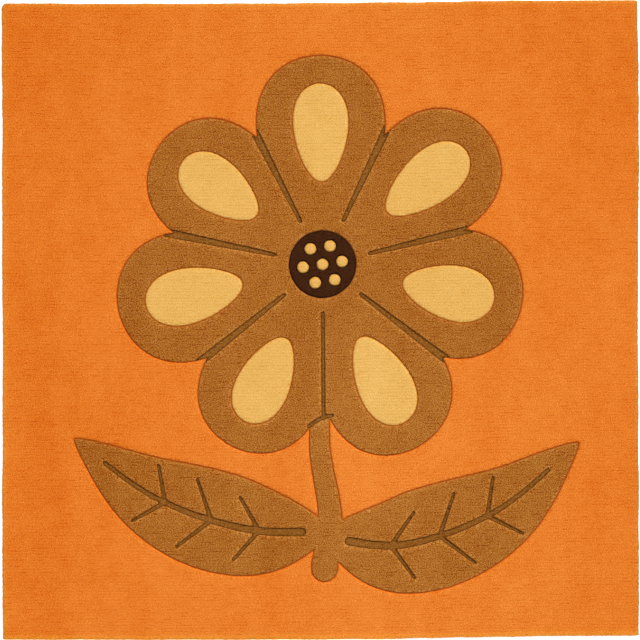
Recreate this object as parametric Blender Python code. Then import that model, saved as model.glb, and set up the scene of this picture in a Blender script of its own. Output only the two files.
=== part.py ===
"""Carved kids rug: one flat mat of dense cut pile, with a flower and its two leaves.

Metres, +Z up. The origin is the middle of the underside. +Y points to the flower's top
and +X to its right. Every colour of yarn is one raised field of the same mat, parted
from its neighbours by a carved groove, and the lines inside the flower and the leaves
are strips of sheared, shorter pile.
"""
import math

import bmesh
import bpy
import numpy as np

# Size of the mat
SIDE = 1.100
THICKNESS = 0.013
# top right, top left, bottom left, bottom right
CORNER_RADII = (0.0025, 0.0085, 0.0025, 0.0025)
TIGHTEST_CORNER = 0.001
CORNER_STEPS = 3
EDGE_STEPS = 13

# Pile edge, from the underside up: height, and how far it lies inside the outline
RIM = [
    (0.0000, 0.0014),
    (0.0030, 0.0000),
    (0.0080, 0.0000),
    (0.0108, 0.0009),
    (0.0124, 0.0024),
    (THICKNESS, 0.0046),
]

# How far each edge strays outward from the true square, in even steps from the left
# corner to the right one, or from the bottom corner to the top one
# top, right, bottom, left
EDGE_DRIFT = [
    (-0.0027, 0.0011, 0.0023, -0.0009),
    (-0.0030, 0.0007, 0.0032, 0.0000),
    (-0.0025, -0.0003, 0.0027, -0.0009),
    (-0.0008, -0.0005, 0.0015, 0.0002),
    (0.0020, 0.0011, -0.0025, 0.0000),
    (0.0032, -0.0020, -0.0042, 0.0011),
]

# Carving
GROOVE_HALF = 0.0026
GROOVE_FLOOR_HALF = 0.0004
GROOVE_DEPTH = 0.0050
LOW_PILE_DEPTH = 0.0043
LOW_PILE_SLOPE = 0.0006
CUT_OVERRUN = 0.0010

# Flower head
HEAD = np.array([0.004, 0.098])
PETAL_ROOT = 0.045
PETAL_FULLNESS = 0.30
PETAL_POINTS = 36
CORE_RADIUS = 0.135
CORE_POINTS = 24
# turn from +X in degrees, reach from the head's middle, half width
PETALS = [
    (38.5, 0.362, 0.105),
    (91.0, 0.361, 0.107),
    (143.5, 0.350, 0.104),
    (193.0, 0.362, 0.108),
    (243.5, 0.351, 0.103),
    (297.0, 0.357, 0.106),
    (347.0, 0.352, 0.107),
]

# Pale inset of each petal
INSET_ROOT = 0.142
INSET_MARGIN = 0.048
INSET_WIDTH_SHARE = 0.44
INSET_FULLNESS = 0.25
INSET_POINTS = 28

# Dark middle with its pale seeds
DISC_RADIUS = 0.058
DISC_POINTS = 24
SEED_RADIUS = 0.0105
SEED_POINTS = 10
SEED_RING_RADIUS = 0.034
SEED_RING_COUNT = 6
SEED_RING_TURN = 8.0

# Stem and leaves: points that the middle line runs through
STEM_LINE = [(0.006, -0.095), (-0.002, -0.215), (0.016, -0.335), (0.006, -0.428)]
STEM_POINTS = 11
STEM_HALF_TOP = 0.015
STEM_HALF_FOOT = 0.023
LEAF_POINTS = 22
LEAF_BLUNTNESS = 0.85
# half width, then the middle line's points from the stem to the tip
LEAVES = [
    (0.087, [(0.016, -0.364), (-0.130, -0.358), (-0.285, -0.304), (-0.428, -0.202)]),
    (0.090, [(0.002, -0.373), (0.145, -0.387), (0.305, -0.331), (0.448, -0.214)]),
]

# Lines of short pile, and the turns of the points that round their ends
LINE_POINTS = 6
LINE_END_TURNS = (-50, 0, 50)
PARTING_START = 0.084
PARTING_END = 0.280
PARTING_HALF_START = 0.0036
PARTING_HALF_END = 0.0080
PARTING_END_OVER_STEM = 0.266
COLLAR_LINE = [(-0.020, -0.181), (0.000, -0.168), (0.020, -0.163)]
COLLAR_HALF = 0.0036
MIDRIB_FROM = 0.11
MIDRIB_TO = 0.87
MIDRIB_POINTS = 12
MIDRIB_HALF_START = 0.0076
MIDRIB_HALF_END = 0.0040
VEIN_PLACES = (0.28, 0.46, 0.63)
VEIN_STEP = 0.01
VEIN_REACH_SHARE = 0.70
VEIN_LEAN = 0.72
VEIN_HALF_START = 0.0042
VEIN_HALF_END = 0.0028

# Yarn colours, linear
ORANGE = (0.791, 0.195, 0.021)
BROWN = (0.413, 0.136, 0.017)
SHORT_BROWN = (0.223, 0.078, 0.011)
CREAM = (0.839, 0.468, 0.114)
DARK_BROWN = (0.048, 0.013, 0.003)
PILE_ROUGHNESS = 0.95


def clear_scene():
    """Remove whatever objects the scene holds."""
    for thing in list(bpy.data.objects):
        bpy.data.objects.remove(thing, do_unlink=True)


def yarn(name, colour):
    """A dull dyed yarn."""
    material = bpy.data.materials.new(name)
    material.use_nodes = True
    shader = material.node_tree.nodes["Principled BSDF"]
    shader.inputs["Base Color"].default_value = (*colour, 1.0)
    shader.inputs["Roughness"].default_value = PILE_ROUGHNESS
    shader.inputs["Metallic"].default_value = 0.0
    material.diffuse_color = (*colour, 1.0)
    return material


def curve_through(knots, steps):
    """Smooth curve through evenly spaced knots; step 0 is the first knot."""
    knots = np.asarray(knots, dtype=float)
    before = 2 * knots[0] - knots[1]
    after = 2 * knots[-1] - knots[-2]
    knots = np.vstack([before, knots, after])
    span = np.clip(np.floor(steps).astype(int), 0, len(knots) - 4)
    t = (steps - span)[:, None]
    a, b, c, d = (knots[span + i] for i in range(4))
    return b + 0.5 * t * (c - a + t * (2 * a - 5 * b + 4 * c - d + t * (3 * b - 3 * c + d - a)))


def line_through(knots, count):
    """Points spread along the smooth curve through the knots."""
    return curve_through(knots, np.linspace(0, len(knots) - 1, count))


def drifted(loop):
    """Carry points of the true square along with its straying edges."""
    across, up = (loop / SIDE + 0.5).T
    steps = len(EDGE_DRIFT) - 1
    top, _, bottom, _ = curve_through(EDGE_DRIFT, across.clip(0, 1) * steps).T
    _, right, _, left = curve_through(EDGE_DRIFT, up.clip(0, 1) * steps).T
    shift = [across * right - (1 - across) * left, up * top - (1 - up) * bottom]
    return loop + np.stack(shift, axis=1)


def outline(inset):
    """The mat's square with rounded corners, a given distance inside its edges."""
    half = SIDE / 2 - inset
    turns = np.linspace(0, np.pi / 2, CORNER_STEPS + 1)
    radii = [max(radius - inset, TIGHTEST_CORNER) for radius in CORNER_RADII]
    quarters = []
    for quarter, radius in enumerate(radii):
        corner = radius * np.stack([np.cos(turns), np.sin(turns)], axis=1) + half - radius
        edge_up = np.linspace(radii[quarter - 1] - half, half - radius, EDGE_STEPS + 1)[1:-1]
        edge = np.stack([np.full(EDGE_STEPS - 1, half), edge_up], axis=1)
        turned = np.linalg.matrix_power(np.array([[0, 1], [-1, 0]]), quarter)
        quarters.append(np.vstack([edge, corner]) @ turned)
    return np.vstack(quarters)


def egg(start, reach, half_width, fullness, count):
    """Egg lying along +X, fuller towards its far end."""
    turn = np.linspace(0, 2 * np.pi, count, endpoint=False)
    along = (start + reach) / 2 + (reach - start) / 2 * np.cos(turn)
    aside = half_width * np.sin(turn) * (1 + fullness * np.cos(turn))
    return np.stack([along, aside], axis=1)


def placed(loop, degrees, middle):
    """Turn a loop about the origin, then move it."""
    turn = math.radians(degrees)
    rows = np.array([[math.cos(turn), math.sin(turn)], [-math.sin(turn), math.cos(turn)]])
    return loop @ rows + middle


def disc(radius, middle, count):
    """A round loop."""
    return placed(egg(-radius, radius, radius, 0.0, count), 0.0, middle)


def directions(line):
    """Unit vectors along a line and to its left, at each of its points."""
    ahead = np.gradient(line, axis=0)
    ahead /= np.linalg.norm(ahead, axis=1, keepdims=True)
    left = np.stack([-ahead[:, 1], ahead[:, 0]], axis=1)
    return ahead, left


def leaf(knots, half_width):
    """Pointed leaf about a curved middle line."""
    line = line_through(knots, LEAF_POINTS)
    _, left = directions(line)
    share = np.linspace(0, 1, LEAF_POINTS) ** LEAF_BLUNTNESS
    width = (half_width * np.sin(np.pi * share).clip(0, 1) ** LEAF_BLUNTNESS)[:, None]
    return np.vstack([line - left * width, (line + left * width)[-2:0:-1]])


def strip(line, half_start, half_end):
    """Strip with rounded ends along a line, widening or narrowing evenly."""
    ahead, left = directions(line)
    half = np.linspace(half_start, half_end, len(line))[:, None]
    turn = np.radians(LINE_END_TURNS)[:, None]
    end = line[-1] + half_end * (np.cos(turn) * ahead[-1] + np.sin(turn) * left[-1])
    start = line[0] - half_start * (np.cos(turn) * ahead[0] + np.sin(turn) * left[0])
    return np.vstack([line - left * half, end, (line + left * half)[::-1], start])


def motif_loops():
    """Brown shapes: petals, the core under them, the stem and the leaves."""
    loops = [disc(CORE_RADIUS, HEAD, CORE_POINTS)]
    for turn, reach, half_width in PETALS:
        petal = egg(PETAL_ROOT, reach, half_width, PETAL_FULLNESS, PETAL_POINTS)
        loops.append(placed(petal, turn, HEAD))
    loops.append(strip(line_through(STEM_LINE, STEM_POINTS), STEM_HALF_TOP, STEM_HALF_FOOT))
    loops += [leaf(knots, half_width) for half_width, knots in LEAVES]
    return loops


def inset_loops():
    """Pale teardrop in each petal."""
    loops = []
    for turn, reach, half_width in PETALS:
        half = half_width * INSET_WIDTH_SHARE
        inset = egg(INSET_ROOT, reach - INSET_MARGIN, half, INSET_FULLNESS, INSET_POINTS)
        loops.append(placed(inset, turn, HEAD))
    return loops


def seed_loops():
    """Seeds of the dark middle: one, and a ring about it."""
    loops = [disc(SEED_RADIUS, HEAD, SEED_POINTS)]
    for k in range(SEED_RING_COUNT):
        turn = math.radians(SEED_RING_TURN + 360 * k / SEED_RING_COUNT)
        out = SEED_RING_RADIUS * np.array([math.cos(turn), math.sin(turn)])
        loops.append(disc(SEED_RADIUS, HEAD + out, SEED_POINTS))
    return loops


def parting_loops():
    """Line of short pile between each petal and the next, out to where they part.

    The one over the stem stops at the collar, a short line across the stem's top.
    """
    loops = [strip(line_through(COLLAR_LINE, LINE_POINTS), COLLAR_HALF, COLLAR_HALF)]
    turns = [turn for turn, _, _ in PETALS]
    for turn, after in zip(turns, turns[1:] + [turns[0] + 360]):
        over_stem = turn < 270 < after
        end = PARTING_END_OVER_STEM if over_stem else PARTING_END
        half_end = COLLAR_HALF if over_stem else PARTING_HALF_END
        knots = placed(np.array([[PARTING_START, 0.0], [end, 0.0]]), (turn + after) / 2, HEAD)
        loops.append(strip(line_through(knots, LINE_POINTS), PARTING_HALF_START, half_end))
    return loops


def vein_loops():
    """Midrib and side veins of each leaf."""
    loops = []
    for half_width, knots in LEAVES:
        last = len(knots) - 1
        rib = curve_through(knots, np.linspace(MIDRIB_FROM, MIDRIB_TO, MIDRIB_POINTS) * last)
        loops.append(strip(rib, MIDRIB_HALF_START, MIDRIB_HALF_END))
        for place in VEIN_PLACES:
            steps = place + VEIN_STEP * np.array([-1, 0, 1])
            nearby = curve_through(knots, steps * last)
            ahead, left = (vectors[1] for vectors in directions(nearby))
            width = half_width * math.sin(math.pi * place ** LEAF_BLUNTNESS) ** LEAF_BLUNTNESS
            reach = VEIN_REACH_SHARE * width
            for side in (1, -1):
                tip = nearby[1] + reach * (side * left + VEIN_LEAN * ahead)
                vein = line_through([nearby[1], tip], LINE_POINTS)
                loops.append(strip(vein, VEIN_HALF_START, VEIN_HALF_END))
    return loops


def grown(loop, distance):
    """Move a counter-clockwise loop outward by a distance, or inward if negative."""
    side = np.roll(loop, -1, axis=0) - loop
    side /= np.linalg.norm(side, axis=1, keepdims=True)
    ahead = side + np.roll(side, 1, axis=0)
    ahead /= np.linalg.norm(ahead, axis=1, keepdims=True)
    return loop + distance * np.stack([ahead[:, 1], -ahead[:, 0]], axis=1)


def skin(name, stacks, material, collection):
    """Closed solids, each the loft of a stack of (loop, height) layers, lowest first."""
    mesh = bpy.data.meshes.new(name)
    shape = bmesh.new()
    for layers in stacks:
        rings = [[shape.verts.new((x, y, z)) for x, y in drifted(loop)] for loop, z in layers]
        shape.faces.new(rings[0][::-1])
        shape.faces.new(rings[-1])
        for low, high in zip(rings, rings[1:]):
            for i, j in zip(range(-1, len(low) - 1), range(len(low))):
                shape.faces.new((low[i], low[j], high[j], high[i]))
    shape.to_mesh(mesh)
    shape.free()
    mesh.materials.append(material)
    thing = bpy.data.objects.new(name, mesh)
    collection.objects.link(thing)
    return thing


def carve(mat, tool, operation, overlapping=False):
    """Cut a tool's solids from the mat, or join them to it."""
    tool.hide_render = True
    tool.display_type = "WIRE"
    step = mat.modifiers.new(tool.name, "BOOLEAN")
    step.operation = operation
    step.solver = "EXACT"
    step.use_self = overlapping
    step.material_mode = "TRANSFER"
    step.object = tool


def sheared(pile, loops, short_pile, tools):
    """Cut strips of short pile into a plateau, down to a flat floor."""
    floor = THICKNESS - LOW_PILE_DEPTH
    above = THICKNESS + CUT_OVERRUN
    cuts = [[(grown(loop, -LOW_PILE_SLOPE), floor), (loop, above)] for loop in loops]
    carve(pile, skin("short_pile_cut", cuts, short_pile, tools), "DIFFERENCE", True)


def carved_field(mat, name, loops, beside, pile, tools, lines=(), short_pile=None):
    """One colour of pile: a recess in what lies round it, and its own plateau inside.

    Both walls slope, so a groove runs along the border, open at the top and narrow
    at its floor. Loops that carry lines of short pile may overlap each other.
    """
    floor = THICKNESS - GROOVE_DEPTH
    above = THICKNESS + CUT_OVERRUN
    slope = (GROOVE_HALF - GROOVE_FLOOR_HALF) / GROOVE_DEPTH
    widest = GROOVE_HALF + slope * CUT_OVERRUN
    lowest = -GROOVE_FLOOR_HALF + slope * CUT_OVERRUN
    recess = [
        [(grown(loop, GROOVE_FLOOR_HALF), floor), (grown(loop, widest), above)]
        for loop in loops
    ]
    plateau = [
        [(grown(loop, lowest), floor - CUT_OVERRUN), (grown(loop, -GROOVE_HALF), THICKNESS)]
        for loop in loops
    ]
    raised = skin(f"{name}_pile", plateau, pile, tools)
    if lines:
        sheared(raised, lines, short_pile, tools)
    carve(mat, skin(f"{name}_recess", recess, beside, tools), "DIFFERENCE", bool(lines))
    carve(mat, raised, "UNION")


def collection_named(name):
    """A new collection in the scene."""
    collection = bpy.data.collections.new(name)
    bpy.context.scene.collection.children.link(collection)
    return collection


def main():
    clear_scene()
    parts = collection_named("kids_rug")
    tools = collection_named("rug_cutters")
    orange = yarn("orange_pile", ORANGE)
    brown = yarn("brown_pile", BROWN)
    short_brown = yarn("short_brown_pile", SHORT_BROWN)
    cream = yarn("cream_pile", CREAM)
    dark = yarn("dark_pile", DARK_BROWN)

    layers = [(outline(inset), height) for height, inset in RIM]
    mat = skin("rug", [layers], orange, parts)
    lines = parting_loops() + vein_loops()
    carved_field(mat, "motif", motif_loops(), orange, brown, tools, lines, short_brown)
    carved_field(mat, "inset", inset_loops(), brown, cream, tools)
    carved_field(mat, "middle", [disc(DISC_RADIUS, HEAD, DISC_POINTS)], brown, dark, tools)
    carved_field(mat, "seed", seed_loops(), dark, cream, tools)


main()
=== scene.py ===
"""Looks of the carved kids rug: tufted pile in five yarn colours on its base cloth.

The pile is worked out on one grid laid over the mat. Each grid point knows how far it
lies from every border between two colours. The grid's triangles are split along those
borders and along the shoulders of the carved grooves, so each colour becomes its own
piece with a clean edge, and all pieces share one surface.
"""
import math

import bpy
import numpy as np
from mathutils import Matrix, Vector
from mathutils.geometry import delaunay_2d_cdt


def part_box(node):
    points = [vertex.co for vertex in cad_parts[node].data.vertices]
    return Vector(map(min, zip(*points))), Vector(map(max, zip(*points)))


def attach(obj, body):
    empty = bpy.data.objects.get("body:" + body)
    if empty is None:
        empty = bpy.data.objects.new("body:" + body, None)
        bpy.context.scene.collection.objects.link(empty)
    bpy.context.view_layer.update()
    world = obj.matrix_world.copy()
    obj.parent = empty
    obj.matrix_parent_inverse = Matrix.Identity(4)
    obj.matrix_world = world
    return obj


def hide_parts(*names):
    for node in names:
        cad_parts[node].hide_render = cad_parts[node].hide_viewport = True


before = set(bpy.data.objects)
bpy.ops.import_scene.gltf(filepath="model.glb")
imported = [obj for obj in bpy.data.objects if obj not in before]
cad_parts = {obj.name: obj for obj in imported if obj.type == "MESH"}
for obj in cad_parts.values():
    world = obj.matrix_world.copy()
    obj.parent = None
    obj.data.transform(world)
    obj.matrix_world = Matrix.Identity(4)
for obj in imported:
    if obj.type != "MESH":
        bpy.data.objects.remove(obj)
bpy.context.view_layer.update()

# Size of the mat, as in its solid
SIDE = 1.100
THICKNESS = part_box("rug")[1].z
BASE_TOP = 0.0012
BASE_REACH = 0.0030
BASE_CELLS = 22
BASE_HEM = (0.0015, 0.0030, 0.0060, 0.0100)
PILE_FOOT = BASE_TOP + 0.0005

# Pile edge from the flat top outward and down: how far inside the outline, and height
RIM = [
    (0.0046, THICKNESS),
    (0.0024, 0.0124),
    (0.0009, 0.0108),
    (0.0000, 0.0080),
    (0.0000, 0.0030),
    (0.0008, PILE_FOOT),
]
RIM_STEPS = 40

# Corners of the flat top, the top left one and the others: radius, and the power that
# makes them rounder or squarer
ROUND_CORNER = (0.0039, 2.0)
SQUARE_CORNER = (0.0010, 5.0)

# How far the top, right, bottom and left edges stray outward from the true square, in
# even steps from the left corner to the right one, or from the bottom one to the top one
EDGE_DRIFT = [
    (-0.0027, 0.0011, 0.0023, -0.0009),
    (-0.0030, 0.0007, 0.0032, 0.0000),
    (-0.0025, -0.0003, 0.0027, -0.0009),
    (-0.0008, -0.0005, 0.0015, 0.0002),
    (0.0020, 0.0011, -0.0025, 0.0000),
    (0.0032, -0.0020, -0.0042, 0.0011),
]

# Tufting
ROW_PITCH = SIDE / 206
TUFT_STEP = 0.0037
JITTER_ALONG = 0.20
JITTER_ACROSS = 0.05
TIP_SPREAD = 0.0003
TROUGH_DEPTH = 0.0002
EDGE_TUFT_SPREAD = 0.0004
EDGE_WANDER = 0.0005
EDGE_WANDER_TUFTS = 9
BORDER_WANDER = 0.00022
SEED = 7

# Bands along the mat's edge, a pale one of painted light and a narrow hem of painted shade: how far in
# they reach, how strong each is at the top, right, bottom and left, and where on the pile edge both
# fade out
EDGE_LIGHT_REACH = 0.014
EDGE_LIGHT_SHARES = (0.45, 0.22, 1.00, 0.75)
EDGE_SHADE_REACH = 0.007
EDGE_SHADE_SHARES = (0.50, 1.00, 0.00, 0.30)
BANDS_FADE = (0.0074, 0.0120)

# Carving
GROOVE_HALF = 0.0026
GROOVE_MIDWALL = 0.0009
GROOVE_DEPTH = 0.0045
GROOVE_SHOULDER = 1.5
LIP_DROP = 0.0010
LIP_REACH = 0.0090
LOW_PILE_DEPTH = 0.0043
LOW_PILE_SHOULDER = 0.0008
LOW_PILE_FOOT = -0.0012
LINE_FOOT_AT = -0.0004
LINE_FOOT_HALF = 0.0014
FAR = 0.02

# Flower head
HEAD = np.array([0.004, 0.098])
PETAL_ROOT = 0.045
PETAL_FULLNESS = 0.30
CORE_RADIUS = 0.135
# turn from +X in degrees, reach from the head's middle, half width
PETALS = [
    (38.5, 0.362, 0.105),
    (91.0, 0.361, 0.107),
    (143.5, 0.350, 0.104),
    (193.0, 0.362, 0.108),
    (243.5, 0.351, 0.103),
    (297.0, 0.357, 0.106),
    (347.0, 0.352, 0.107),
]
INSET_ROOT = 0.142
INSET_MARGIN = 0.048
INSET_WIDTH_SHARE = 0.44
INSET_FULLNESS = 0.25
DISC_RADIUS = 0.058
SEED_RADIUS = 0.0105
SEED_RING_RADIUS = 0.034
SEED_RING_COUNT = 6
SEED_RING_TURN = 8.0
ROUND_POINTS = 96
SEED_POINTS = 24

# Stem and leaves: points that the middle line runs through
STEM_LINE = [(0.006, -0.095), (-0.002, -0.215), (0.016, -0.335), (0.006, -0.428)]
STEM_HALF_TOP = 0.015
STEM_HALF_FOOT = 0.023
STEM_POINTS = 24
LEAF_POINTS = 48
LEAF_BLUNTNESS = 0.85
# half width, then the middle line's points from the stem to the tip
LEAVES = [
    (0.087, [(0.016, -0.364), (-0.130, -0.358), (-0.285, -0.304), (-0.428, -0.202)]),
    (0.090, [(0.002, -0.373), (0.145, -0.387), (0.305, -0.331), (0.448, -0.214)]),
]

# Lines of short pile, and the turns of the points that round their ends
LINE_POINTS = 10
LINE_END_TURNS = (-60, -30, 0, 30, 60)
PARTING_START = 0.084
PARTING_END = 0.280
PARTING_HALF_START = 0.0036
PARTING_HALF_END = 0.0080
PARTING_END_OVER_STEM = 0.266
COLLAR_LINE = [(-0.020, -0.181), (0.000, -0.168), (0.020, -0.163)]
COLLAR_HALF = 0.0036
MIDRIB_FROM = 0.11
MIDRIB_TO = 0.87
MIDRIB_POINTS = 24
MIDRIB_HALF_START = 0.0076
MIDRIB_HALF_END = 0.0040
VEIN_PLACES = (0.28, 0.46, 0.63)
VEIN_STEP = 0.01
VEIN_REACH_SHARE = 0.70
VEIN_LEAN = 0.72
VEIN_HALF_START = 0.0042
VEIN_HALF_END = 0.0028

# Yarn colours, linear: body; root, the painted shade and bounce light deep in the carving; and what a
# lit strand adds, the tint of the grain and of the painted light and shade
YARNS = {
    "orange_pile": ((0.634, 0.163, 0.0160), (0.760, 0.155, 0.004), (0.280, 0.190, 0.060)),
    "brown_pile": ((0.315, 0.1035, 0.0072), (0.410, 0.110, 0.002), (0.185, 0.118, 0.044)),
    "short_brown_pile": ((0.225, 0.082, 0.010), (0.060, 0.019, 0.001), (0.150, 0.090, 0.030)),
    "cream_pile": ((0.640, 0.354, 0.085), (0.780, 0.330, 0.020), (0.310, 0.300, 0.160)),
    "dark_pile": ((0.040, 0.011, 0.002), (0.014, 0.004, 0.001), (0.030, 0.014, 0.006)),
}
# How strong the grain with its painted row shade, the clouds with the painted broad light, and the
# painted light on the lip beside a groove are in each yarn
STRENGTHS = {
    "orange_pile": (0.95, 1.2, 0.0),
    "brown_pile": (1.95, 1.7, 0.30),
    "short_brown_pile": (1.2, 1.0, 0.0),
    "cream_pile": (0.70, 0.80, 0.0),
    "dark_pile": (1.5, 1.0, 0.0),
}
# Noise of yarn ends, strands and stretches of a row: size, detail, stretch on each axis
YARN_ENDS = (0.0013, 0.0, (1.2, 0.9, 1.0))
STRANDS = (0.0024, 1.0, (8.0, 1.0, 1.0))
ROW_STRETCHES = (0.0035, 1.0, (4.5, 1.0, 1.0))
TONE_SHARE = 0.006
YARN_END_SHARE = 0.215
STRAND_SHARE = 0.010
# Painted shade in the dark dashes where two rows part
ROW_GAP_SHADE_SHARE = 0.36
# Painted light across the whole mat, lighter in the middle and darker towards the left and right: the
# lightness it adds in the middle, for each step to the right and upward, and for the squares of those
# steps; a step is half a side
BROAD_LIGHT = (0.042, 0.022, -0.020, -0.112, -0.015)
# Soft clouds: size, stretch along each axis, share
CLOUDS = [
    (0.300, (1.0, 1.4, 1.0), 0.018),
    (0.060, (1.0, 8.0, 1.0), 0.016),
    (0.040, (1.0, 1.3, 1.0), 0.020),
    (0.016, (1.0, 1.0, 1.0), 0.012),
]
BUMP_HEIGHT = 0.0006
BUMP_STRENGTH = 0.6
ROW_BUMP = 1.2
# Painted light of the pale edge band and painted shade of the hem band, as factors on the colour
EDGE_LIGHT_TINT = (1.26, 1.80, 1.90, 1)
EDGE_SHADE_TINT = (0.40, 0.95, 2.60, 1)
CLOTH_COLOUR = (0.50, 0.42, 0.30)
CLOTH_THREADS = 0.0022
CLOTH_WEAR = 0.03

# Studio
FLOOR_HALF = 6.0
FLOOR_COLOUR = (0.92, 0.92, 0.91)
FLOOR_GLOW = 0.55
CAMERA_X = -0.0006
CAMERA_LENS = 180.0
CAMERA_SENSOR = 36.0
PICTURE_SIDE = SIDE * 640 / 636.8
SUN_FROM = (0.36, 0.58, 0.73)
SUN_POWER = 2.6
SUN_SOFTNESS = 16.0
SURROUND = 0.70

# What each point of a pile tells its material: its share of painted shade and bounce light, its lip,
# its pale band of painted light, its hem band of painted shade, its tuft's tone, and its row
ATTRIBUTES = ("bounce_and_shade_share", "lip", "pale", "hem", "tone", "row")

# What the pile's node group is told: the yarn's colours, and its strengths
COLOUR_INPUTS = ("Body", "Bounce_and_shade_colour", "Light_and_grain_tint")
STRENGTH_INPUTS = ("Grain_and_row_shade", "Cloud_and_broad_light", "Lip_light")

# Columns of the grid's points
U, V, RIM_DISTANCE, MOTIF, LINES, INSETS, DISC, SEEDS, TUFT, EDGE_TUFT, TONE, ROW = range(12)


def curve_through(knots, steps):
    """Smooth curve through evenly spaced knots; step 0 is the first knot.

    Between two knots it is the cubic whose slope at each knot is half the way from the
    knot before to the knot after.
    """
    knots = np.asarray(knots, dtype=float)
    before = 2 * knots[0] - knots[1]
    after = 2 * knots[-1] - knots[-2]
    knots = np.vstack([before, knots, after])
    span = np.clip(np.floor(steps).astype(int), 0, len(knots) - 4)
    t = (steps - span)[:, None]
    a, b, c, d = (knots[span + i] for i in range(4))
    return b + 0.5 * t * (c - a + t * (2 * a - 5 * b + 4 * c - d + t * (3 * b - 3 * c + d - a)))


def line_through(knots, count):
    """Points spread along the smooth curve through the knots."""
    return curve_through(knots, np.linspace(0, len(knots) - 1, count))


def drifted(place):
    """Carry points of the true square along with its straying edges.

    A point moves by a mix of the drift of the two edges on either side of it, each
    weighted by how near the point lies to it.
    """
    across, up = (place / SIDE + 0.5).T
    steps = len(EDGE_DRIFT) - 1
    top, _, bottom, _ = curve_through(EDGE_DRIFT, across.clip(0, 1) * steps).T
    _, right, _, left = curve_through(EDGE_DRIFT, up.clip(0, 1) * steps).T
    shift = [across * right - (1 - across) * left, up * top - (1 - up) * bottom]
    return place + np.stack(shift, axis=1)


def egg(start, reach, half_width, fullness, count):
    """Egg along +X: an ellipse whose half width grows with the cosine of the turn."""
    turn = np.linspace(0, 2 * np.pi, count, endpoint=False)
    along = (start + reach) / 2 + (reach - start) / 2 * np.cos(turn)
    aside = half_width * np.sin(turn) * (1 + fullness * np.cos(turn))
    return np.stack([along, aside], axis=1)


def placed(loop, degrees, middle):
    """Turn a loop about the origin, then move it."""
    turn = math.radians(degrees)
    rows = np.array([[math.cos(turn), math.sin(turn)], [-math.sin(turn), math.cos(turn)]])
    return loop @ rows + middle


def disc(radius, middle, count):
    """A round loop."""
    return placed(egg(-radius, radius, radius, 0.0, count), 0.0, middle)


def directions(line):
    """Unit vectors along a line and to its left, at each of its points."""
    ahead = np.gradient(line, axis=0)
    ahead /= np.linalg.norm(ahead, axis=1, keepdims=True)
    left = np.stack([-ahead[:, 1], ahead[:, 0]], axis=1)
    return ahead, left


def leaf_width(half_width, share):
    """Half width of a leaf at a share of its length: a sine swelling nearer the stem."""
    return half_width * np.sin(np.pi * share**LEAF_BLUNTNESS).clip(0, 1) ** LEAF_BLUNTNESS


def leaf(knots, half_width):
    """Pointed leaf: the middle line moved aside by the leaf's half width, both ways."""
    line = line_through(knots, LEAF_POINTS)
    _, left = directions(line)
    width = leaf_width(half_width, np.linspace(0, 1, LEAF_POINTS))[:, None]
    return np.vstack([line - left * width, (line + left * width)[-2:0:-1]])


def strip(line, half_start, half_end):
    """Strip with rounded ends: the line moved aside by an evenly changing half width."""
    ahead, left = directions(line)
    half = np.linspace(half_start, half_end, len(line))[:, None]
    turn = np.radians(LINE_END_TURNS)[:, None]
    end = line[-1] + half_end * (np.cos(turn) * ahead[-1] + np.sin(turn) * left[-1])
    start = line[0] - half_start * (np.cos(turn) * ahead[0] + np.sin(turn) * left[0])
    return np.vstack([line - left * half, end, (line + left * half)[::-1], start])


def motif_loops():
    """Brown shapes: petals, the core under them, the stem and the leaves."""
    loops = [disc(CORE_RADIUS, HEAD, ROUND_POINTS)]
    for turn, reach, half_width in PETALS:
        petal = egg(PETAL_ROOT, reach, half_width, PETAL_FULLNESS, ROUND_POINTS)
        loops.append(placed(petal, turn, HEAD))
    loops.append(strip(line_through(STEM_LINE, STEM_POINTS), STEM_HALF_TOP, STEM_HALF_FOOT))
    loops += [leaf(knots, half_width) for half_width, knots in LEAVES]
    return loops


def inset_loops():
    """Pale teardrop in each petal."""
    loops = []
    for turn, reach, half_width in PETALS:
        half = half_width * INSET_WIDTH_SHARE
        inset = egg(INSET_ROOT, reach - INSET_MARGIN, half, INSET_FULLNESS, ROUND_POINTS)
        loops.append(placed(inset, turn, HEAD))
    return loops


def seed_loops():
    """Seeds of the dark middle: one, and a ring about it."""
    loops = [disc(SEED_RADIUS, HEAD, SEED_POINTS)]
    for k in range(SEED_RING_COUNT):
        turn = math.radians(SEED_RING_TURN + 360 * k / SEED_RING_COUNT)
        out = SEED_RING_RADIUS * np.array([math.cos(turn), math.sin(turn)])
        loops.append(disc(SEED_RADIUS, HEAD + out, SEED_POINTS))
    return loops


def parting_loops():
    """Line of short pile between each petal and the next, out to where they part.

    The one over the stem stops at the collar, a short line across the stem's top.
    """
    loops = [strip(line_through(COLLAR_LINE, LINE_POINTS), COLLAR_HALF, COLLAR_HALF)]
    turns = [turn for turn, _, _ in PETALS]
    for turn, after in zip(turns, turns[1:] + [turns[0] + 360]):
        over_stem = turn < 270 < after
        end = PARTING_END_OVER_STEM if over_stem else PARTING_END
        half_end = COLLAR_HALF if over_stem else PARTING_HALF_END
        knots = placed(np.array([[PARTING_START, 0.0], [end, 0.0]]), (turn + after) / 2, HEAD)
        loops.append(strip(line_through(knots, LINE_POINTS), PARTING_HALF_START, half_end))
    return loops


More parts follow.
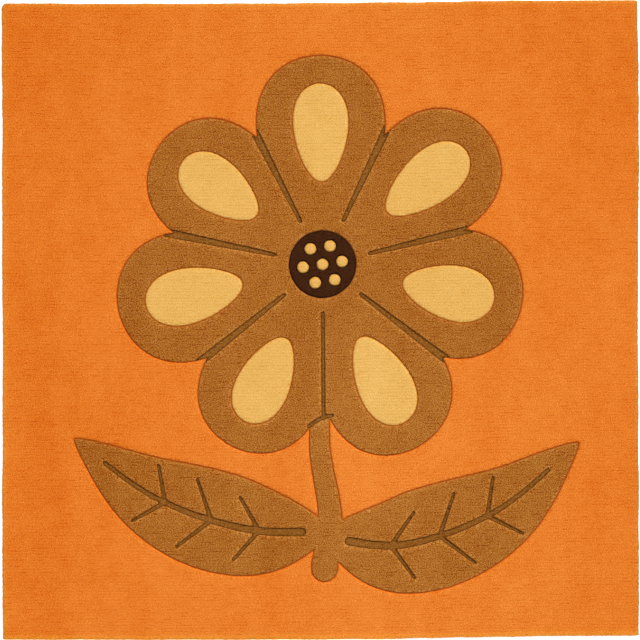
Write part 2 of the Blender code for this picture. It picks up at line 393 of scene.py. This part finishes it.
def vein_loops():
    """Midrib and side veins of each leaf."""
    loops = []
    for half_width, knots in LEAVES:
        last = len(knots) - 1
        rib = curve_through(knots, np.linspace(MIDRIB_FROM, MIDRIB_TO, MIDRIB_POINTS) * last)
        loops.append(strip(rib, MIDRIB_HALF_START, MIDRIB_HALF_END))
        for place in VEIN_PLACES:
            steps = place + VEIN_STEP * np.array([-1, 0, 1])
            nearby = curve_through(knots, steps * last)
            ahead, left = (vectors[1] for vectors in directions(nearby))
            reach = VEIN_REACH_SHARE * leaf_width(half_width, np.array(place))
            for side in (1, -1):
                tip = nearby[1] + reach * (side * left + VEIN_LEAN * ahead)
                vein = line_through([nearby[1], tip], LINE_POINTS)
                loops.append(strip(vein, VEIN_HALF_START, VEIN_HALF_END))
    return loops


def distance_to(place, loops):
    """How far each point lies outside the nearest of some loops, negative inside.

    It is the least distance to any of a loop's sides. A point is inside where a ray
    towards +X crosses the loop an odd number of times. Beyond FAR it isn't worked out.
    """
    nearest = np.full(len(place), FAR)
    for loop in loops:
        low, high = loop.min(axis=0) - FAR, loop.max(axis=0) + FAR
        near = np.flatnonzero(((place > low) & (place < high)).all(axis=1))
        x, y = place[near].T
        gap = np.full(len(near), FAR**2)
        inside = np.zeros(len(near), dtype=bool)
        for (ax, ay), (bx, by) in zip(loop, np.roll(loop, -1, axis=0)):
            dx, dy = bx - ax, by - ay
            share = (((x - ax) * dx + (y - ay) * dy) / (dx * dx + dy * dy)).clip(0, 1)
            gap = np.minimum(gap, (x - ax - share * dx) ** 2 + (y - ay - share * dy) ** 2)
            if dy:
                inside ^= ((ay > y) != (by > y)) & (x < ax + (y - ay) * dx / dy)
        nearest[near] = np.minimum(nearest[near], np.sqrt(gap) * np.where(inside, -1, 1))
    return nearest


def rim_curve():
    """The pile edge as lengths along it, insets and heights, read off a smooth curve."""
    inset, height = line_through(RIM, RIM_STEPS).T
    length = np.hypot(np.diff(inset), np.diff(height))
    return np.concatenate([[0.0], np.cumsum(length)]), inset, height


RIM_LENGTH, RIM_INSET, RIM_HEIGHT = rim_curve()
FLAT_HALF = SIDE / 2 - RIM[0][0]


def from_flat_top(place):
    """Distance beyond the flat top, and the step outward that adds one unit to it.

    The flat top is a square whose top left corner is rounder than the others. Past a
    side the distance is the plain one. Past a corner it is (x^p + y^p)^(1/p) less the
    corner's radius, round where p is 2 and nearly square where it is large.
    """
    x, y = place.T
    rounder = ((x < 0) & (y > 0))[:, None]
    radius, power = np.where(rounder, ROUND_CORNER, SQUARE_CORNER).T
    beyond = np.abs(place) - (FLAT_HALF - radius)[:, None]
    out = beyond.clip(0, None)
    length = (out ** power[:, None]).sum(axis=1) ** (1 / power)
    distance = length + beyond.max(axis=1).clip(None, 0) - radius
    way = np.where(length[:, None] > 0, out / np.maximum(length, 1e-9)[:, None], 0.0)
    return distance, way * np.sign(place)


def edge_relief(rng, count):
    """How far each tuft of an edge stands out: its own part and a slow wander."""
    own = rng.uniform(-1, 1, count) * EDGE_TUFT_SPREAD
    knots = rng.uniform(-1, 1, count // EDGE_WANDER_TUFTS + 2)
    place = np.arange(count) / EDGE_WANDER_TUFTS
    return own + EDGE_WANDER * np.interp(place, np.arange(len(knots)), knots)


def laid_grid():
    """Grid over the mat and its edge: points with all their columns, and triangles.

    Points lie on the crests and in the troughs of the tuft rows, which run along X.
    Each tuft has its own height and tone.
    """
    rng = np.random.default_rng(SEED)
    half = FLAT_HALF + RIM_LENGTH[-1]
    rows = 2 * math.ceil(half / ROW_PITCH * 2)
    tufts = math.ceil(2 * half / TUFT_STEP)
    u, v = np.meshgrid(np.linspace(-half, half, tufts + 1), np.linspace(-half, half, rows + 1))
    shape = u.shape
    inner = np.zeros(shape)
    inner[1:-1, 1:-1] = 1
    u = u + inner * rng.uniform(-1, 1, shape) * JITTER_ALONG * TUFT_STEP
    v = v + inner * rng.uniform(-1, 1, shape) * JITTER_ACROSS * ROW_PITCH
    row = np.arange(shape[0])[:, None] / 2 * np.ones(shape)
    crest = row % 1 == 0
    tip = rng.uniform(-1, 1, shape) * TIP_SPREAD / 2
    tuft = np.where(crest, tip, tip - TROUGH_DEPTH)
    tone = rng.normal(0, 1, shape)
    place = np.stack([u.ravel(), v.ravel()], axis=1)
    along_x = edge_relief(rng, shape[1])[None, :]
    along_y = edge_relief(rng, shape[0])[:, None]
    edge_tuft = np.where(np.abs(v) > np.abs(u), along_x, along_y)
    wander = rng.normal(0, BORDER_WANDER, len(place))
    motif = distance_to(place, motif_loops()) + wander
    lines = distance_to(place, parting_loops() + vein_loops()) + wander
    points = np.stack(
        [
            place[:, 0],
            place[:, 1],
            from_flat_top(place)[0],
            motif,
            np.maximum(lines, motif),
            distance_to(place, inset_loops()) + wander,
            distance_to(place, [disc(DISC_RADIUS, HEAD, ROUND_POINTS)]) + wander,
            distance_to(place, seed_loops()) + wander,
            tuft.ravel(),
            edge_tuft.ravel(),
            tone.ravel(),
            row.ravel(),
        ],
        axis=1,
    )
    corner = (np.arange(rows)[:, None] * (tufts + 1) + np.arange(tufts)[None, :]).ravel()
    quads = np.stack([corner, corner + 1, corner + tufts + 2, corner + tufts + 1], axis=1)
    turned = rng.random(len(quads)) < 0.5
    quads[turned] = np.roll(quads[turned], 1, axis=1)
    return points, np.vstack([quads[:, [0, 1, 2]], quads[:, [0, 2, 3]]])


def score(points, faces, column, level=0.0, snap=0.0003):
    """Split the triangles that a level line of one column crosses, along that line.

    A crossed triangle has one corner alone on its side of the line. New points on the
    two edges from that corner part it from the other two, which makes three triangles.
    Points that already lie nearly on the line count as on it.
    """
    above = points[:, column] - level
    above[np.abs(above) < snap] = 0.0
    points[above == 0, column] = level
    side = np.sign(above)[faces]
    crossed = (side.max(axis=1) > 0) & (side.min(axis=1) < 0)
    cut = faces[crossed]
    high = side[crossed] > 0
    lone = np.where(high.sum(axis=1) == 1, high.argmax(axis=1), (~high).argmax(axis=1))
    low_zero = (side[crossed] == 0).any(axis=1)
    lone = np.where(low_zero, high.argmax(axis=1), lone)
    cut = np.take_along_axis(cut, (lone[:, None] + np.arange(3)) % 3, axis=1)
    a, b, c = cut.T
    edges = np.sort(np.concatenate([np.stack([a, b], axis=1), np.stack([a, c], axis=1)]), axis=1)
    edges, index = np.unique(edges, axis=0, return_inverse=True)
    start, end = edges.T
    share = above[start] / np.where(above[start] == above[end], 1.0, above[start] - above[end])
    fresh = points[start] + share[:, None] * (points[end] - points[start])
    fresh[:, column] = level
    number = np.arange(len(edges)) + len(points)
    number = np.where(above[end] == 0, end, np.where(above[start] == 0, start, number))
    ab, ac = number[index.ravel()].reshape(2, -1)
    parts = [np.stack(corners, axis=1) for corners in ((a, ab, ac), (ab, b, c), (ab, c, ac))]
    faces = np.vstack([faces[~crossed], *parts])
    whole = (faces[:, 0] != faces[:, 1]) & (faces[:, 1] != faces[:, 2]) & (faces[:, 2] != faces[:, 0])
    return np.vstack([points, fresh]), faces[whole]


def smooth_step(value, start, end):
    """0 before start, 1 after end, and an even S between them."""
    t = ((value - start) / (end - start)).clip(0, 1)
    return t * t * (3 - 2 * t)


def carving(points):
    """How deep the carving lies at each point, its share of painted shade and bounce light, and its
    rounded lip.

    Along a border it is a valley whose depth falls off with the distance from the border. In a line of
    short pile it is an even floor with soft shoulders, whose painted shade lies only along its foot.
    The pile beside either one rounds off towards it.
    """
    border = np.abs(points[:, [MOTIF, INSETS, DISC, SEEDS]]).min(axis=1)
    valley = (1 - border / GROOVE_HALF).clip(0, 1) ** GROOVE_SHOULDER
    lines = points[:, LINES]
    floor = smooth_step(-lines, -LOW_PILE_SHOULDER, -LOW_PILE_FOOT)
    foot = (1 - np.abs(lines - LINE_FOOT_AT) / LINE_FOOT_HALF).clip(0, 1)
    lip = (1 - np.minimum(border, lines.clip(0, None)) / LIP_REACH).clip(0, 1) ** 2
    depths = [GROOVE_DEPTH * valley, LOW_PILE_DEPTH * floor, LIP_DROP * lip]
    return np.max(depths, axis=0), np.maximum(valley, foot), lip


def surface(points):
    """Places of the grid's points in space, their share of painted shade and bounce light, and the lip
    by a groove.

    A point past the flat top follows the pile edge's curve down, straight out from the
    nearest point of the flat top. Tufts stand along the surface's own normal. Last, the
    whole mat drifts with its edges.
    """
    flat = points[:, [U, V]]
    beyond, way = from_flat_top(flat)
    beyond = beyond.clip(0, None)
    inset = np.interp(beyond, RIM_LENGTH, RIM_INSET)
    height = np.interp(beyond, RIM_LENGTH, RIM_HEIGHT)
    step = RIM_LENGTH[-1] / RIM_STEPS
    slope_out = (inset - np.interp(beyond + step, RIM_LENGTH, RIM_INSET)) / step
    slope_up = (np.interp(beyond + step, RIM_LENGTH, RIM_HEIGHT) - height) / step
    on_edge = smooth_step(beyond, 0.0, RIM_LENGTH[-1] / 3)
    depth, bounce_and_shade_share, lip = carving(points)
    relief = (1 - on_edge) * points[:, TUFT] + on_edge * points[:, EDGE_TUFT] - depth
    tilt = np.arctan2(-slope_up, slope_out)
    out = RIM[0][0] - inset - beyond + np.sin(tilt) * relief
    place = drifted(flat + way * out[:, None])
    height = np.maximum(height + np.cos(tilt) * relief, PILE_FOOT)
    return np.column_stack([place, height]), bounce_and_shade_share, lip


def painted_edge_bands(points):
    """Strength of the pale band of painted light and of the narrow hem band of painted shade at each
    point.

    Each falls off with the square of the distance in from a side of the mat, as seen
    from above, times that side's own strength. The strongest of the four sides counts.
    """
    u, v = points[:, [U, V]].T
    beyond = np.stack([v, u, -v, -u], axis=1) - FLAT_HALF
    inset = np.where(beyond < 0, RIM_INSET[0] - beyond, np.interp(beyond, RIM_LENGTH, RIM_INSET))
    kept = 1 - smooth_step(points[:, RIM_DISTANCE], *BANDS_FADE)
    return [
        kept * ((1 - inset / reach).clip(0, 1) ** 2 * shares).max(axis=1)
        for reach, shares in ((EDGE_LIGHT_REACH, EDGE_LIGHT_SHARES), (EDGE_SHADE_REACH, EDGE_SHADE_SHARES))
    ]


def open_edges(faces):
    """Edges that only one triangle uses, in the direction that it runs them."""
    edges = np.concatenate([faces[:, [0, 1]], faces[:, [1, 2]], faces[:, [2, 0]]])
    key = np.sort(edges, axis=1)
    _, index, count = np.unique(key, axis=0, return_inverse=True, return_counts=True)
    return edges[count[index.ravel()] == 1]


def floor_faces(place, lines):
    """Triangles that close a piece's underside between its foot lines.

    All the foot points are joined by triangles that keep every foot line. A triangle
    belongs to the piece where a ray from its middle towards +X crosses the lines an odd
    number of times.
    """
    made = delaunay_2d_cdt([Vector(point) for point in place.tolist()], lines.tolist(), [], 0, 1e-9)
    source = np.array([sources[0] for sources in made[3]])
    faces = source[np.array(made[2])]
    (ax, ay), (bx, by) = place[lines[:, 0]].T, place[lines[:, 1]].T
    lean = (bx - ax) / np.where(by == ay, 1.0, by - ay)
    inside = []
    for middle in np.array_split(place[faces].mean(axis=1), 64):
        x, y = middle[:, :1], middle[:, 1:]
        crossed = ((ay > y) != (by > y)) & (x < ax + (y - ay) * lean)
        inside.append(crossed.sum(axis=1) % 2 == 1)
    return faces[np.concatenate(inside)][:, ::-1]


def pile_piece(name, points, faces):
    """A closed block of pile: its top, walls down to the base cloth, and a flat floor."""
    used, faces = np.unique(faces, return_inverse=True)
    faces = faces.reshape(-1, 3)
    points = points[used]
    place, bounce_and_shade_share, lip = surface(points)
    rim = open_edges(faces)
    ring, local = np.unique(rim, return_inverse=True)
    local = local.reshape(-1, 2) + len(place)
    foot = place[ring] * (1, 1, 0) + (0, 0, BASE_TOP)
    walls = np.vstack([
        np.stack([rim[:, 1], rim[:, 0], local[:, 0]], axis=1),
        np.stack([rim[:, 1], local[:, 0], local[:, 1]], axis=1),
    ])
    floor = floor_faces(place[ring, :2], local - len(place)) + len(place)
    corners = np.vstack([place, foot])
    mesh = bpy.data.meshes.new(name)
    mesh.from_pydata(corners.tolist(), [], np.vstack([faces, walls, floor]).tolist())
    # Bands of painted light and painted shade along the mat's edge
    pale, hem = painted_edge_bands(points)
    columns = (bounce_and_shade_share, lip, pale, hem, points[:, TONE], points[:, ROW])
    for label, column in zip(ATTRIBUTES, columns):
        column = np.append(column, column[ring])
        mesh.attributes.new(label, "FLOAT", "POINT").data.foreach_set("value", column)
    mesh.polygons.foreach_set("use_smooth", np.ones(len(mesh.polygons), dtype=bool))
    return add_piece(name, mesh)


def add_piece(name, mesh):
    """Show a mesh as a piece of the object."""
    thing = bpy.data.objects.new(name, mesh)
    bpy.context.scene.collection.objects.link(thing)
    return thing


def pile_pieces():
    """The five colours of pile."""
    points, faces = laid_grid()
    points, faces = score(points, faces, RIM_DISTANCE, RIM_LENGTH[-1])
    faces = faces[points[:, RIM_DISTANCE][faces].mean(axis=1) < RIM_LENGTH[-1]]
    for column in (MOTIF, INSETS, DISC, SEEDS):
        for level in (0.0, GROOVE_HALF, -GROOVE_HALF, GROOVE_MIDWALL, -GROOVE_MIDWALL):
            points, faces = score(points, faces, column, level)
    for level in (0.0, LOW_PILE_SHOULDER, LOW_PILE_FOOT):
        points, faces = score(points, faces, LINES, level)
    motif, lines, insets, middle, seeds = (
        points[:, column][faces].mean(axis=1) < 0
        for column in (MOTIF, LINES, INSETS, DISC, SEEDS)
    )
    fields = {
        "orange_pile": ~motif,
        "brown_pile": motif & ~lines & ~insets & ~middle,
        "short_brown_pile": lines,
        "cream_pile": insets | seeds,
        "dark_pile": middle & ~seeds,
    }
    return {name: pile_piece(name, points, faces[chosen]) for name, chosen in fields.items()}


def base_cloth():
    """The woven cloth that the pile is tufted into: a thin closed square sheet.

    A grid, closer near the hem, whose outer points are drawn in to the cloth's reach
    past the pile's flat top, so its corners are rounded as the pile's are.
    """
    half = FLAT_HALF + BASE_REACH
    hem = np.array(BASE_HEM)
    line = np.linspace(-half, half, BASE_CELLS + 1)
    line = np.sort(np.concatenate([line, half - hem, hem - half]))
    count = len(line)
    x, y = np.meshgrid(line, line)
    place = np.stack([x.ravel(), y.ravel()], axis=1)
    beyond, way = from_flat_top(place)
    place = drifted(place - way * (beyond - BASE_REACH).clip(0, None)[:, None])
    corner = (np.arange(count - 1)[:, None] * count + np.arange(count - 1)[None, :]).ravel()
    quads = np.stack([corner, corner + 1, corner + count + 1, corner + count], axis=1)
    mesh = bpy.data.meshes.new("base_cloth")
    mesh.from_pydata(np.column_stack([place, np.zeros(len(place))]).tolist(), [], quads.tolist())
    thing = add_piece("base_cloth", mesh)
    thick = thing.modifiers.new("thickness", "SOLIDIFY")
    thick.thickness = BASE_TOP
    thick.offset = 1.0
    return thing


def shader_node(tree, kind, inputs=(), **settings):
    """Add a node, set it, and give its sockets values or links."""
    made = tree.nodes.new(kind)
    for key, value in settings.items():
        setattr(made, key, value)
    for key, value in dict(inputs).items():
        if isinstance(value, bpy.types.NodeSocket):
            tree.links.new(value, made.inputs[key])
        else:
            made.inputs[key].default_value = value
    return made


def noise(tree, where, size, detail=2.0, stretch=(1.0, 1.0, 1.0)):
    """Soft noise whose features are about a given size in metres."""
    scale = tuple(1 / (size * part) for part in stretch)
    mapped = shader_node(tree, "ShaderNodeMapping", {"Vector": where, "Scale": scale})
    made = shader_node(
        tree, "ShaderNodeTexNoise",
        {"Vector": mapped.outputs[0], "Scale": 1.0, "Detail": detail, "Roughness": 0.6},
    )
    return made.outputs[0]


def math_node(tree, operation, first, second=0.0):
    """One arithmetic step on values."""
    made = tree.nodes.new("ShaderNodeMath")
    made.operation = operation
    for socket, value in zip(made.inputs, (first, second)):
        if isinstance(value, bpy.types.NodeSocket):
            tree.links.new(value, socket)
        else:
            socket.default_value = value
    return made.outputs[0]


def ramped(tree, value, low, high, low_to=0.0, high_to=1.0):
    """Carry a value's range to another, held at both ends."""
    made = shader_node(
        tree, "ShaderNodeMapRange",
        {"Value": value, "From Min": low, "From Max": high, "To Min": low_to, "To Max": high_to},
    )
    return made.outputs[0]


def spread(tree, value, share):
    """Noise carried to lie about zero, with a usual spread of the given share."""
    return math_node(tree, "MULTIPLY", math_node(tree, "SUBTRACT", value, 0.5), 9 * share)


def added(tree, values):
    """Sum of values."""
    total = values[0]
    for value in values[1:]:
        total = math_node(tree, "ADD", total, value)
    return total


def mixed(tree, share, first, second, blend="MIX"):
    """Mix two colours."""
    made = tree.nodes.new("ShaderNodeMix")
    made.data_type = "RGBA"
    made.blend_type = blend
    sockets = [s for s in made.inputs if s.enabled]
    for socket, value in zip(sockets, (share, first, second)):
        if isinstance(value, bpy.types.NodeSocket):
            tree.links.new(value, socket)
        else:
            socket.default_value = value
    return next(s for s in made.outputs if s.enabled)


def new_group(name, inputs, outputs):
    """A shader node group with named sockets, and its two end nodes."""
    tree = bpy.data.node_groups.new(name, "ShaderNodeTree")
    for label, kind in inputs:
        tree.interface.new_socket(label, in_out="INPUT", socket_type=kind)
    for label, kind in outputs:
        tree.interface.new_socket(label, in_out="OUTPUT", socket_type=kind)
    return tree, tree.nodes.new("NodeGroupInput"), tree.nodes.new("NodeGroupOutput")


def cut_pile_group():
    """Colour and bump of cut pile.

    The strand colour is added to the yarn's own, or taken from it, by a sum of parts: a tone for each
    tuft, a fine grain of yarn ends, painted shade in short dark dashes where two rows part, broad soft
    clouds and bands where the pile leans, painted light that is lighter in the middle of the mat and
    darker towards the left and right, and painted light on the lip beside a groove. Carved pile is
    mixed towards the root colour, painted shade and bounce light, and along the mat's edge a pale band
    of painted light and a duller hem band of painted shade change the colour.
    """
    tree, given, result = new_group(
        "cut_pile",
        [(label, "NodeSocketColor") for label in COLOUR_INPUTS]
        + [(label, "NodeSocketFloat") for label in STRENGTH_INPUTS],
        [("Colour", "NodeSocketColor"), ("Height", "NodeSocketFloat")],
    )
    where = tree.nodes.new("ShaderNodeTexCoord").outputs["Object"]
    bounce_and_shade_share, lip, pale, hem, tone, row = (
        shader_node(tree, "ShaderNodeAttribute", attribute_name=label).outputs["Fac"]
        for label in ATTRIBUTES
    )
    yarn_ends = noise(tree, where, *YARN_ENDS)
    strands = noise(tree, where, *STRANDS)
    stretches = noise(tree, where, *ROW_STRETCHES)
    phase = math_node(tree, "ABSOLUTE", math_node(tree, "SUBTRACT", math_node(tree, "FRACT", row), 0.5))
    # Painted shade: dark dashes in the gaps where two rows part
    gap = ramped(tree, phase, 0.18, 0.02)
    dash = math_node(tree, "MULTIPLY", gap, ramped(tree, stretches, 0.50, 0.66))
    parts = [
        math_node(tree, "MULTIPLY", tone, TONE_SHARE),
        spread(tree, yarn_ends, YARN_END_SHARE),
        spread(tree, strands, STRAND_SHARE),
        math_node(tree, "MULTIPLY", dash, -ROW_GAP_SHADE_SHARE),
    ]
    grain = math_node(tree, "MULTIPLY", added(tree, parts), given.outputs["Grain_and_row_shade"])

    # Painted light, lighter in the middle of the mat and darker towards the left and right
    apart = shader_node(tree, "ShaderNodeSeparateXYZ", {"Vector": where})
    right, up = (math_node(tree, "DIVIDE", apart.outputs[axis], SIDE / 2) for axis in (0, 1))
    terms = (right, up, math_node(tree, "MULTIPLY", right, right), math_node(tree, "MULTIPLY", up, up))
    lean = [math_node(tree, "MULTIPLY", term, share) for term, share in zip(terms, BROAD_LIGHT[1:])]
    clouds = lean + [
        spread(tree, noise(tree, where, size, 1.0, stretch), share)
        for size, stretch, share in CLOUDS
    ]
    cloud = math_node(tree, "MULTIPLY", added(tree, [BROAD_LIGHT[0], *clouds]), given.outputs["Cloud_and_broad_light"])
    # Painted light on the rounded lip beside a groove
    lit_lip = math_node(tree, "MULTIPLY", lip, given.outputs["Lip_light"])
    light = math_node(tree, "MAXIMUM", added(tree, [grain, cloud, lit_lip]), -0.8)

    # Painted shade and bounce light in the carving: the pile mixed towards its root colour
    root = math_node(tree, "POWER", bounce_and_shade_share, 0.8)
    colour = mixed(tree, root, given.outputs["Body"], given.outputs["Bounce_and_shade_colour"])
    # Painted light in the pale edge band, painted shade in the hem band
    for share, tint in ((pale, EDGE_LIGHT_TINT), (hem, EDGE_SHADE_TINT)):
        colour = mixed(tree, share, colour, tint, "MULTIPLY")
    # Painted light and shade, with the grain and clouds, added to the colour along the strand tint
    shade = shader_node(tree, "ShaderNodeCombineColor", {0: light, 1: light, 2: light})
    strand = mixed(tree, 1.0, given.outputs["Light_and_grain_tint"], shade.outputs[0], "MULTIPLY")
    # Painted shade also mutes the strand's added light in the carving
    strand = mixed(tree, math_node(tree, "MULTIPLY", root, 0.6), strand, (0, 0, 0, 1))
    colour = mixed(tree, 1.0, colour, strand, "ADD")
    height = added(tree, [yarn_ends, strands, math_node(tree, "MULTIPLY", phase, ROW_BUMP)])
    tree.links.new(colour, result.inputs["Colour"])
    tree.links.new(height, result.inputs["Height"])
    return tree


def pile_material(name, group):
    """Dull dyed yarn with a faint sheen along the tips."""
    material = bpy.data.materials.new(name)
    material.use_nodes = True
    tree = material.node_tree
    shader = tree.nodes["Principled BSDF"]
    look = tree.nodes.new("ShaderNodeGroup")
    look.node_tree = group
    for label, colour in zip(COLOUR_INPUTS, YARNS[name]):
        look.inputs[label].default_value = (*colour, 1)
    for label, strength in zip(STRENGTH_INPUTS, STRENGTHS[name]):
        look.inputs[label].default_value = strength
    bump = shader_node(
        tree, "ShaderNodeBump",
        {"Height": look.outputs["Height"], "Distance": BUMP_HEIGHT, "Strength": BUMP_STRENGTH},
    )
    tree.links.new(look.outputs["Colour"], shader.inputs["Base Color"])
    tree.links.new(bump.outputs[0], shader.inputs["Normal"])
    shader.inputs["Roughness"].default_value = 0.95
    shader.inputs["Specular IOR Level"].default_value = 0.08
    shader.inputs["Sheen Weight"].default_value = 0.02
    shader.inputs["Sheen Roughness"].default_value = 0.5
    return material


def cloth_material():
    """Plain woven cotton: two crossed sets of threads."""
    material = bpy.data.materials.new("base_cloth")
    material.use_nodes = True
    tree = material.node_tree
    shader = tree.nodes["Principled BSDF"]
    where = tree.nodes.new("ShaderNodeTexCoord").outputs["Object"]
    apart = shader_node(tree, "ShaderNodeSeparateXYZ", {"Vector": where})
    threads = []
    for axis in (0, 1):
        turn = math_node(tree, "MULTIPLY", apart.outputs[axis], 2 * math.pi / CLOTH_THREADS)
        threads.append(math_node(tree, "SINE", turn))
    weave = math_node(tree, "MULTIPLY", threads[0], threads[1])
    lit = ramped(tree, weave, -1, 1, 0.82, 1.0)
    worn = ramped(tree, noise(tree, where, CLOTH_WEAR, 3.0), 0.3, 0.7, -0.07, 0.07)
    tone = math_node(tree, "ADD", lit, worn)
    shade = shader_node(tree, "ShaderNodeCombineColor", {0: tone, 1: tone, 2: tone})
    colour = mixed(tree, 1.0, (*CLOTH_COLOUR, 1), shade.outputs[0], "MULTIPLY")
    bump = shader_node(tree, "ShaderNodeBump", {"Height": weave, "Distance": 0.0003, "Strength": 0.6})
    tree.links.new(colour, shader.inputs["Base Color"])
    tree.links.new(bump.outputs[0], shader.inputs["Normal"])
    shader.inputs["Roughness"].default_value = 0.9
    return material


def add_floor():
    """Plain pale floor under the rug."""
    mesh = bpy.data.meshes.new("floor")
    corners = [(-1, -1), (1, -1), (1, 1), (-1, 1)]
    mesh.from_pydata([(x * FLOOR_HALF, y * FLOOR_HALF, 0) for x, y in corners], [], [(0, 1, 2, 3)])
    floor = add_piece("floor", mesh)
    material = bpy.data.materials.new("floor")
    material.use_nodes = True
    shader = material.node_tree.nodes["Principled BSDF"]
    shader.inputs["Base Color"].default_value = (*FLOOR_COLOUR, 1)
    shader.inputs["Roughness"].default_value = 0.7
    shader.inputs["Emission Color"].default_value = (1, 1, 1, 1)
    shader.inputs["Emission Strength"].default_value = FLOOR_GLOW
    mesh.materials.append(material)


def add_studio():
    """One broad far light from the top right, and an even pale surround."""
    light = bpy.data.lights.new("key", "SUN")
    light.energy = SUN_POWER
    light.angle = math.radians(SUN_SOFTNESS)
    key = bpy.data.objects.new("key", light)
    bpy.context.scene.collection.objects.link(key)
    key.rotation_euler = Vector(SUN_FROM).to_track_quat("Z", "Y").to_euler()
    world = bpy.data.worlds.new("studio")
    world.use_nodes = True
    background = world.node_tree.nodes["Background"]
    background.inputs["Color"].default_value = (1, 1, 1, 1)
    background.inputs["Strength"].default_value = SURROUND
    bpy.context.scene.world = world
    bpy.context.scene.view_settings.view_transform = "Standard"


def add_camera():
    """Long lens straight above, with the flower's top upward in the picture."""
    camera = bpy.data.cameras.new("camera")
    camera.sensor_width = CAMERA_SENSOR
    camera.lens = CAMERA_LENS
    camera.clip_end = 50.0
    thing = bpy.data.objects.new("camera", camera)
    bpy.context.scene.collection.objects.link(thing)
    height = THICKNESS + PICTURE_SIDE * CAMERA_LENS / CAMERA_SENSOR
    thing.location = (CAMERA_X, 0.0, height)
    bpy.context.scene.camera = thing


def main():
    group = cut_pile_group()
    pieces = pile_pieces()
    for name, piece in pieces.items():
        piece.data.materials.append(pile_material(name, group))
        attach(piece, "root")
        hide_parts("rug")
    base = base_cloth()
    base.data.materials.append(cloth_material())
    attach(base, "root")
    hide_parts("rug")
    add_floor()
    add_studio()
    add_camera()


main()
